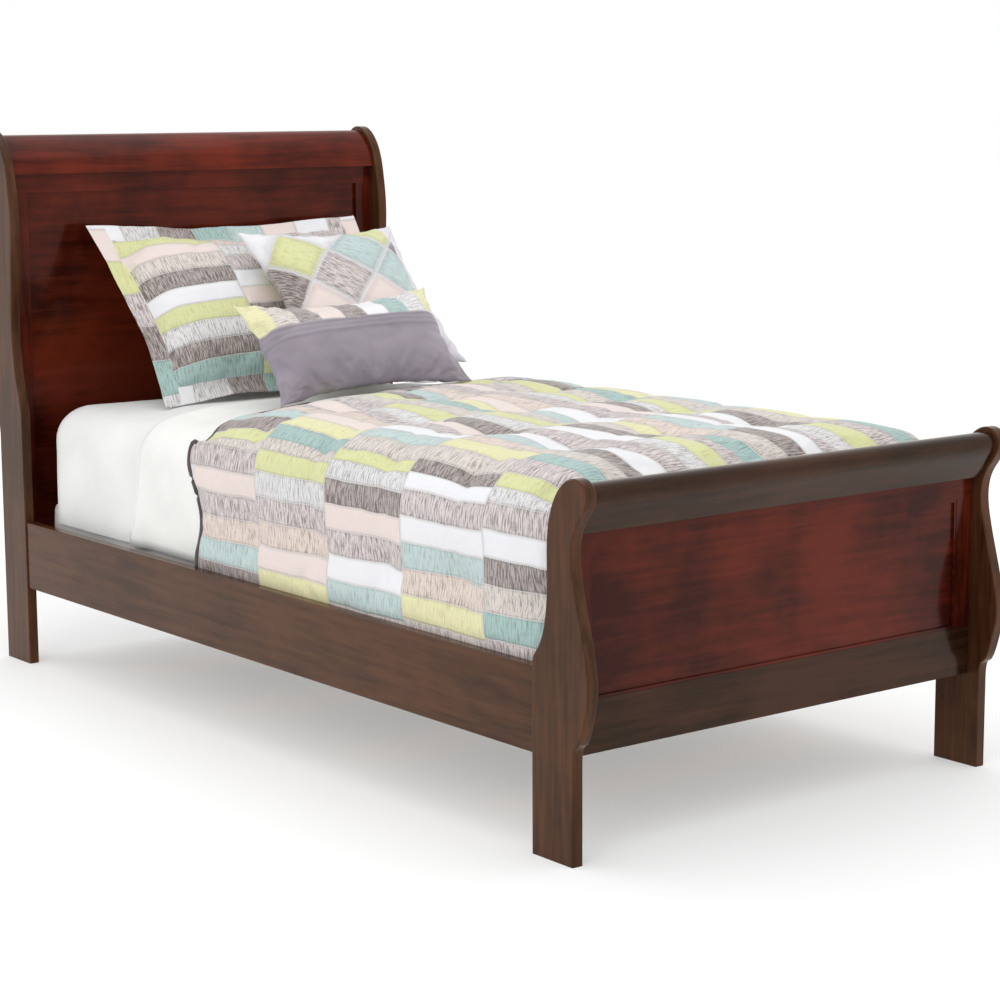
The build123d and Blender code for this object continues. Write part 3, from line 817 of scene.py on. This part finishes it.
def quilt_edge(points):
    """How far up the bed the comforter reaches at each place across it."""
    across = np.clip((points[:, 0] + 0.47) / 0.98, 0, 1)
    drop = np.clip((QUILT_TOP - points[:, 2]) / 0.3, 0, 1) * (points[:, 0] < 0)
    dip = -0.03 * np.exp(-(((points[:, 0] + 0.45) / 0.09) ** 2)) * (1 - smoothstep(drop * 2.5))
    wave = 0.022 * np.sin(drop * 6.5) * smoothstep(drop * 2) - 0.02 * drop
    return edge_near + (edge_far - edge_near) * (across**0.8) + dip + wave


def quilt_skin(points):
    """Slants the head edge, thins it, crowns the top and dimples the tufts."""
    length = edge_near - quilt_low[1]
    share = (points[:, 1] - quilt_low[1]) / length
    moved = points.copy()
    moved[:, 1] = quilt_low[1] + share * (quilt_edge(points) - quilt_low[1])
    on_top = smoothstep((points[:, 2] - QUILT_TOP + 0.06) / 0.05)
    thin = smoothstep((moved[:, 1] - (quilt_edge(points) - 0.26)) / 0.26)
    crown = 0.010 * (1 - (points[:, 0] / 0.5) ** 2)
    moved[:, 2] += on_top * (crown - 0.028 * thin)
    away = np.maximum(np.abs(points[:, 0]) - 0.4, 0) / 0.11
    moved[:, 2] -= 0.016 * np.clip(away, 0, 1) ** 2 * on_top
    moved[:, 2] += wobble(points, 4, 0.004, 5.5) * on_top
    return moved


comforter = wrap(
    "comforter_cloth", quilt_low + (0.001, 0.001, 0.002), (quilt_high[0] - 0.001, edge_near, QUILT_TOP),
    QUILT_RADIUS, (0.012, 0.012, 0.012), ("top", "left", "right", "foot"), quilt_skin,
)
comforter_layer = comforter.data.uv_layers["cloth"].data
for polygon in comforter.data.polygons:
    if abs(polygon.normal.y) < 0.8:
        for index in polygon.loop_indices:
            corner = comforter.data.loops[index].vertex_index
            comforter_layer[index].uv.y = comforter.data.vertices[corner].co.y
border, flat_of_vertex = rim_of(comforter)
print("comforter skin", len(comforter.data.vertices), "vertices")

# %% Tufts, simulation and thickness
tuft_across = np.array([-0.74, -0.5, -0.25, 0.0, 0.25, 0.5, 0.74])
tuft_along = foot_y + np.array([0.02, 0.26, 0.5, 0.74, 0.98, 1.22])
tufts = [(a, b) for b in tuft_along for a in tuft_across]
nearest = np.full(len(flat_of_vertex), 9.0)
for place in tufts:
    nearest = np.minimum(nearest, np.linalg.norm(flat_of_vertex - np.array(place), axis=1))
normals = np.array([v.normal for v in comforter.data.vertices])
places = np.array([v.co for v in comforter.data.vertices])
dimple = TUFT_DEPTH * np.exp(-((nearest / 0.03) ** 2)) + 0.005 * np.exp(-((nearest / 0.09) ** 2))
comforter.data.vertices.foreach_set("co", (places - normals * dimple[:, None]).ravel())
tufted = (nearest < 0.010).astype(float)
blow(comforter, np.maximum(border, tufted), pressure=1.2, slack=0.03, cap=0.013)


def tuck_behind(piece, side_limit, rail_top):
    """Keeps the quilt's sides behind the rails and between the posts."""
    for vertex in piece.data.vertices:
        x, y, z = vertex.co
        above = min(1.0, max(0.0, (z - rail_top - 0.004) / 0.05))
        inside = min(1.0, max(0.0, (y - foot_y - 0.05) / 0.06))
        limit = side_limit + 0.014 * above * inside
        if abs(x) > limit:
            vertex.co.x = math.copysign(limit, x)


tuck_behind(comforter, corners("side_rail_right")[0][0] - 0.001, corners("side_rail_left")[1][2])
comforter.modifiers.new("smooth_step", "SUBSURF").render_levels = 1
wadding = comforter.modifiers.new("wadding", "SOLIDIFY")
wadding.thickness, wadding.offset = 0.018, -1
comforter.data.materials.append(patchwork)
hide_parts("comforter")
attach(comforter, "mattress")

edge_roll(
    "comforter_binding", comforter, foot_y + 0.9, 0.0055, piping_cotton, (0, -0.001, -0.004)
)

# %% [markdown]
# ## Pillows
# A pillow is two panels sewn round the edge and filled. The seam is shorter than the panels' bulge, so
# the sides pull in between the corners and small tucks run in from the seam. Each pillow starts as
# two flat grids sewn together, a little full, and cloth pressure fills it out. A sham also has a flat
# flange outside its seam, held still while the middle fills.

# %% Pillow shape
def pillow_mesh(name, size, thickness, flange=0.0, step=0.012, pull=0.03):
    """Two sewn panels, standing in their own XY plane. Returns the object and each vertex's flange share."""
    width, height = size
    half_u, half_v = width / 2 - flange, height / 2 - flange
    columns, rows = round(width / step), round(height / step)
    mesh = bmesh.new()
    layer = mesh.loops.layers.uv.new("cloth")
    sheets, held = [], {}
    for side in (1, -1):
        grid = []
        for i in range(columns + 1):
            line = []
            for j in range(rows + 1):
                u, v = (i / columns - 0.5) * width, (j / rows - 0.5) * height
                reach_u = abs(u) / half_u
                reach_v = abs(v) / half_v
                inside = max(0.0, 1 - min(1, reach_u) ** 2.6) * max(0.0, 1 - min(1, reach_v) ** 2.6)
                rise = thickness / 2 * inside**0.42
                pull_u = pull * (1 - (2 * v / height) ** 2) * min(1, reach_u) ** 3
                pull_v = pull * (1 - (2 * u / width) ** 2) * min(1, reach_v) ** 3
                x, y = u - math.copysign(pull_u, u), v - math.copysign(pull_v, v)
                on_flange = max(reach_u, reach_v) > 1
                wave = 0
                if on_flange:
                    past_u = reach_u * half_u - width / 2 + flange
                    past_v = reach_v * half_v - height / 2 + flange
                    out = max(past_u, past_v) / max(flange, 1e-6)
                    wave = 0.016 * out * noise.noise(Vector((x * 7, y * 7, 3.0 + width))) + side * 0.0015
                vertex = mesh.verts.new((x, y, side * rise + wave))
                held[vertex] = 1.0 if on_flange or i in (0, columns) or j in (0, rows) else 0.0
                line.append((vertex, (u, v)))
            grid.append(line)
        for i in range(columns):
            for j in range(rows):
                ring = [grid[i][j], grid[i + 1][j], grid[i + 1][j + 1], grid[i][j + 1]][:: side]
                face = mesh.faces.new([vertex for vertex, flat in ring])
                face.smooth = True
                for loop, (vertex, flat) in zip(face.loops, ring):
                    loop[layer].uv = flat
        sheets.append(grid)
    every = [(i, j) for i in range(columns + 1) for j in range(rows + 1)]
    rim = [(i, j) for i, j in every if i in (0, columns) or j in (0, rows)]
    pairs = {sheets[1][i][j][0]: sheets[0][i][j][0] for i, j in rim}
    bmesh.ops.weld_verts(mesh, targetmap=pairs)
    mesh.verts.index_update()
    pins = np.array([held[v] for v in mesh.verts])
    return finish_mesh(name, mesh), pins


def settle(piece, centre, lean, roll=0.0):
    """Leans a pillow back from upright, about X, and writes the place into its mesh."""
    place = Matrix.Translation(centre) @ Matrix.Rotation(math.pi / 2 - math.radians(lean), 4, "X")
    piece.data.transform(place @ Matrix.Rotation(math.radians(roll), 4, "Z"))
    return piece


def creases(piece, depth, scale, seed):
    """Soft wrinkles pressed in from the seams of a pillow, along its normals."""
    count = len(piece.data.vertices)
    places, normals = np.zeros(count * 3), np.zeros(count * 3)
    piece.data.vertices.foreach_get("co", places)
    piece.data.vertices.foreach_get("normal", normals)
    places, normals = places.reshape(-1, 3), normals.reshape(-1, 3)
    ripple = wobble(places * np.array([1.0, 1.6, 1.0]), scale, 1.0, seed)
    ridge = (1 - np.abs(ripple)) ** 4
    piece.data.vertices.foreach_set("co", (places - normals * (ridge * depth)[:, None]).ravel())
    piece.data.update()


def pin_tuck(piece, level):
    """Lifts one narrow ridge across a pillow at a height on its flat cloth."""
    rim, flat = rim_of(piece)
    normals = np.array([v.normal for v in piece.data.vertices])
    places = np.array([v.co for v in piece.data.vertices])
    lift = 0.0045 * np.exp(-(((flat[:, 1] - level) / 0.0035) ** 2)) * (1 - rim)
    piece.data.vertices.foreach_set("co", (places + normals * lift[:, None]).ravel())
    piece.data.update()


def middle_of(node):
    """The middle of a piece of the frame."""
    low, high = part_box(node)
    return (low + high) / 2


def pillow(name, size, thickness, lean, roll, cloth, flange=0.0, pull=0.03, tucks=(), step=0.01, sink=0.0):
    """One pillow in the place of its plain cover and insert."""
    piece, pins = pillow_mesh(f"{name}_cloth", size, thickness, flange, step, pull)
    blow(piece, pins, pressure=4.0, slack=0.05, cap=0.03)
    creases(piece, 0.0035, 11.0, size[0] * 7)
    for tuck in tucks:
        pin_tuck(piece, tuck)
    settle(piece, middle_of(f"{name}_cover") - Vector((0, 0, sink)), lean, roll)
    smooth = piece.modifiers.new("smooth_step", "SUBSURF")
    smooth.render_levels = smooth.levels = 1
    piece.data.materials.append(cloth)
    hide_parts(f"{name}_cover", f"{name}_insert")
    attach(piece, name)
    return piece


# %% [markdown]
# ## Pillow covers
# The sham carries the comforter's piecing as level bands inside a patched flange. The square pillow is
# cut on the bias, so its pieces stand as diamonds in a white lattice. The oblong pillow is plain satin
# below three pin tucks, with a band of upright pieces above them.

# %% Sham cloth
SHAM_STRIPS = ("tklgwkbpgl", "gbtkpwmlsa", "tkgwkbpglm", "lbgmkwsgap")
SHAM_BODY = (0.345, 0.225)


def sham_patchwork():
    """Level bands of piecing on the body, and longer patches along the flange."""
    graph = Graph("sham_patchwork")
    flat = graph.add("UVMap", uv_map="cloth").outputs[0]
    across, up = graph.add("SeparateXYZ", {0: flat}).outputs[:2]
    turned = graph.add("CombineXYZ", {0: up, 1: across}).outputs[0]
    colour, height = pieced_colour(graph, turned, SHAM_STRIPS, (0.25, 0.05), (-0.225, -0.345))
    past_side = graph.maths("SUBTRACT", graph.maths("ABSOLUTE", across), SHAM_BODY[0])
    past_end = graph.maths("SUBTRACT", graph.maths("ABSOLUTE", up), SHAM_BODY[1])
    on_side = graph.maths("GREATER_THAN", past_side, 0.0)
    run = graph.add("Mix", {0: on_side, 2: across, 3: up}, data_type="FLOAT").outputs[0]
    along = graph.add("CombineXYZ", {0: run, 1: graph.maths("ADD", on_side, 0.5)}).outputs[0]
    edging, ridge = pieced_colour(
        graph, along, ("wlktapwm", "wltkmgpw"), (1.0, 0.1), (-0.4, 0.0), drawn_on=turned
    )
    on_flange = graph.maths("GREATER_THAN", graph.maths("MAXIMUM", past_side, past_end), 0.0)
    lift = graph.add("Mix", {0: on_flange, 2: height, 3: ridge}, data_type="FLOAT").outputs[0]
    return finish_cotton(graph, flat, graph.mix(on_flange, colour, edging), lift)


def diamond_cloth():
    """Squares on the bias, divided by a white lattice, with a plain border on one side."""
    graph = Graph("diamond_patchwork")
    flat = graph.add("UVMap", uv_map="cloth").outputs[0]
    eighth_turn = {"Vector": flat, "Angle": math.radians(45)}
    bias = graph.add("VectorRotate", eighth_turn, rotation_type="Z_AXIS").outputs[0]
    strips = ("agwa", "kpag", "gakp", "pwgm")
    white = srgb(232, 231, 233)
    colour, height = pieced_colour(
        graph, bias, strips, (0.125, 0.125), (0.02, 0.045), seam=0.013, seam_colour=white, shifts=(0, 0, 0, 0)
    )
    across = graph.add("SeparateXYZ", {0: flat}).outputs[0]
    border = graph.ramp(graph.maths("ADD", across, 0.5), ((0.66, (0, 0, 0)), (0.665, (1, 1, 1)))).outputs[0]
    return finish_cotton(graph, flat, graph.mix(border, colour, srgb(222, 218, 226)), height)


TUCKS = (0.036, 0.024, 0.012)
# Painted shade and highlight at each pin tuck: a dark line just below it and a brighter line on it.
TUCK_PAINTED_SHADE_AND_HIGHLIGHT = ((-0.0045, 1.0), (-0.0025, 0.45), (0.0, 1.1), (0.003, 1.0))


def banded_satin():
    """Plain satin with a band of upright pieces along the top."""
    graph = Graph("oblong_satin")
    flat = graph.add("UVMap", uv_map="cloth").outputs[0]
    band_colour, height = pieced_colour(graph, flat, ("ybkpkwtly",), (4.0, 0.062), (-0.28, -2.0))
    up = graph.add("SeparateXYZ", {0: flat}).outputs[1]
    in_band = graph.ramp(graph.maths("ADD", up, 0.5), ((0.542, (0, 0, 0)), (0.544, (1, 1, 1)))).outputs[0]
    satin_stops = ((0.3, srgb(132, 123, 134)), (0.7, srgb(152, 143, 154)))
    cloud = graph.ramp(graph.noise(flat, 7.0, 3.0), satin_stops).outputs[0]
    thread = graph.noise(graph.stretched(flat, (200.0, 1600.0, 1.0)), 1.0, 2.0)
    # Painted shade and highlight: the satin is darkened just below each pin tuck and brightened on it.
    tuck_shade_and_highlight_stops = [(0.0, (1, 1, 1))]
    for level in sorted(TUCKS):
        tuck_shade_and_highlight_stops += [(0.5 + level + offset, (tone, tone, tone)) for offset, tone in TUCK_PAINTED_SHADE_AND_HIGHLIGHT]
    shade = graph.ramp(graph.maths("ADD", up, 0.5), tuck_shade_and_highlight_stops).outputs[0]
    face = graph.mix(in_band, cloud, band_colour)
    graph.set(Base_Color=graph.mix(1.0, face, shade, "MULTIPLY"), Roughness=0.42)
    graph.set(Sheen_Weight=0.35, Sheen_Roughness=0.3)
    ripple = graph.noise(graph.stretched(flat, (9.0, 22.0, 1.0)), 1.0, 3.0)
    lift = graph.maths("MULTIPLY_ADD", thread, 0.2, ripple)
    return graph.bump(lift, 0.35, 0.006).material


sham = pillow("sham", (0.79, 0.55), 0.105, 42, 0, sham_patchwork(), flange=0.05, pull=0.02, sink=0.006)
square_pillow = pillow("square_pillow", (0.46, 0.46), 0.092, 45, 0, diamond_cloth())
oblong_pillow = pillow("oblong_pillow", (0.56, 0.29), 0.078, 40, 2, banded_satin(), tucks=TUCKS, step=0.006)
print("pillows", [round(len(p.data.vertices)) for p in (sham, square_pillow, oblong_pillow)])
